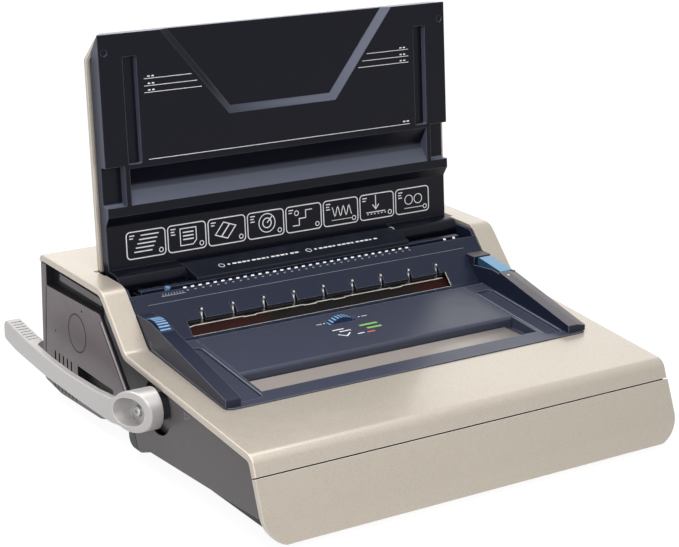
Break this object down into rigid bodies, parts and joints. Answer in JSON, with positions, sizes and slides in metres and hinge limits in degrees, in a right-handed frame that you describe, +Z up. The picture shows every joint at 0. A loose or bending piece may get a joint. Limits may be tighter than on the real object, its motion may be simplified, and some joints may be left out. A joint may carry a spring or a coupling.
{
  "type": "wire binding machine",
  "caption": "Desk wire binding machine with an upright lid, sloping punch deck with paper slot and wire closing slot, flat tray, side hand lever and chip drawer.",
  "frame": {"origin": "middle of the whole footprint, lever included, on the plane under the rubber feet", "axes": "+X to the right seen from the front, +Y to the rear, +Z up"},
  "size_m": [0.502, 0.4514, 0.3805],
  "materials": {
    "champagne_shell": "satin metallic paint",
    "side_grey": "fine texture",
    "frame_black": "matt",
    "navy_moulding": "satin",
    "navy_lid": "satin",
    "taupe_strip": "matt",
    "base_steel": "powder coat",
    "plated_steel": "zinc plated",
    "machined_steel": "ground",
    "bright_steel": "polished",
    "black_steel": "blackened",
    "comb_steel": "oiled",
    "satin_silver": "satin",
    "bronze": "sintered",
    "brass_gear": "machined",
    "gear_nylon": "moulded",
    "board_green": "solder mask",
    "rocker_black": "glossy",
    "wheel_blue": "moulded",
    "key_blue": "satin",
    "clear_lens": "clear",
    "foot_rubber": "matt"
  },
  "bodies": {
    "casing": {"top_shell": "champagne_shell", "front_fascia": "champagne_shell", "base_pan": "base_steel", "feet": "foot_rubber", "case_screws": "plated_steel", "left_front_wall": "side_grey", "right_front_wall": "side_grey", "left_rear_cover": "side_grey", "right_rear_cover": "side_grey", "left_mid_panel": "side_grey", "right_mid_panel": "side_grey", "left_side_frame": "frame_black", "right_side_frame": "frame_black", "rear_panel": "side_grey", "deck_panel": "navy_moulding", "tray_panel": "navy_moulding", "bed_frame": "navy_moulding", "left_wedge": "navy_moulding", "right_wedge": "navy_moulding", "hinge_bridge": "navy_moulding", "channel_strip": "taupe_strip", "punch_die": "machined_steel", "punch_guide": "black_steel", "motor": "plated_steel", "gearbox_plate": "plated_steel", "left_chassis_plate": "plated_steel", "right_chassis_plate": "plated_steel", "chip_chute": "plated_steel", "control_board": "board_green", "power_inlet": "frame_black", "switch_frame": "frame_black", "status_lens": "clear_lens", "wheel_bracket": "frame_black", "shaft_bushes": "bronze", "wire_comb": "comb_steel", "wire_hooks": "bright_steel", "closing_anvil": "black_steel", "lever_flange": "frame_black", "hinge_rod": "machined_steel"},
    "lid": {"lid_shell": "champagne_shell", "lid_panel": "navy_lid"},
    "lever_set": {"lever": "satin_silver", "lever_screw": "plated_steel", "closing_shaft": "machined_steel", "closing_eccentrics": "machined_steel"},
    "press": {"closing_bar": "plated_steel"},
    "size_dial": {"size_wheel": "wheel_blue"},
    "edge_dial": {"edge_wheel": "wheel_blue"},
    "edge_stop": {"edge_guide": "wheel_blue"},
    "key": {"punch_key": "key_blue"},
    "punch_bar": {"pressure_bar": "plated_steel", "pin_holder": "plated_steel", "punch_pins": "machined_steel"},
    "cam_set": {"camshaft": "machined_steel", "punch_cams": "machined_steel", "drive_gear": "machined_steel"},
    "idler": {"idler_gear": "gear_nylon"},
    "pinion": {"motor_pinion": "brass_gear"},
    "drawer": {"chip_drawer": "side_grey"},
    "rocker": {"power_switch": "rocker_black"}
  },
  "joints": [
    {"name": "lid_hinge", "type": "hinge", "parent": "casing", "child": "lid", "pos_m": [0.019, 0.11125, 0.141], "axis": [1, 0, 0], "range_deg": [0, 107.4]},
    {"name": "lever_turn", "type": "hinge", "parent": "casing", "child": "lever_set", "pos_m": [-0.231, -0.02875, 0.0692], "axis": [1, 0, 0], "range_deg": [0, 105]},
    {"name": "press_slide", "type": "slide", "parent": "casing", "child": "press", "axis": [0, 0.6976, 0.7165], "range_m": [0, 0.009]},
    {"name": "size_turn", "type": "hinge", "parent": "casing", "child": "size_dial", "pos_m": [0.0135, 0.01025, 0.0855], "axis": [0, 1, 0], "range_deg": [-75, 75]},
    {"name": "edge_turn", "type": "hinge", "parent": "casing", "child": "edge_dial", "pos_m": [-0.179, 0.03025, 0.1066], "axis": [1, 0, 0], "range_deg": [-60, 60]},
    {"name": "edge_slide", "type": "slide", "parent": "casing", "child": "edge_stop", "axis": [1, 0, 0], "range_m": [-0.012, 0.012]},
    {"name": "key_rock", "type": "hinge", "parent": "casing", "child": "key", "pos_m": [0.214, 0.00925, 0.1165], "axis": [-1, 0, 0], "range_deg": [0, 5], "stiffness_Nm_per_rad": 0.05, "springref_deg": -5.73},
    {"name": "cam_turn", "type": "hinge", "parent": "casing", "child": "cam_set", "pos_m": [0.019, 0.12365, 0.112], "axis": [1, 0, 0], "range_deg": [0, 180]},
    {"name": "punch_slide", "type": "slide", "parent": "casing", "child": "punch_bar", "axis": [0, -1, 0], "range_m": [0, 0.008]},
    {"name": "idler_turn", "type": "hinge", "parent": "casing", "child": "idler", "pos_m": [0.2294, 0.16051, 0.08619], "axis": [1, 0, 0], "range_deg": [-270, 0]},
    {"name": "pinion_turn", "type": "hinge", "parent": "casing", "child": "pinion", "pos_m": [0.2294, 0.17787, 0.06551], "axis": [1, 0, 0], "range_deg": [0, 540]},
    {"name": "drawer_slide", "type": "slide", "parent": "casing", "child": "drawer", "axis": [1, 0, 0], "range_m": [0, 0.24]},
    {"name": "switch_rock", "type": "hinge", "parent": "casing", "child": "rocker", "pos_m": [0.071, 0.21275, 0.044], "axis": [1, 0, 0], "range_deg": [-14, 0]}
  ],
  "couplings": [
    {"joint": "press_slide", "follows": "lever_turn", "m_per_rad": 0.0049111},
    {"joint": "edge_slide", "follows": "edge_turn", "m_per_rad": 0.011459},
    {"joint": "punch_slide", "follows": "cam_turn", "m_per_rad": 0.0025465},
    {"joint": "idler_turn", "follows": "cam_turn", "ratio": -1.5},
    {"joint": "pinion_turn", "follows": "cam_turn", "ratio": 3}
  ]
}
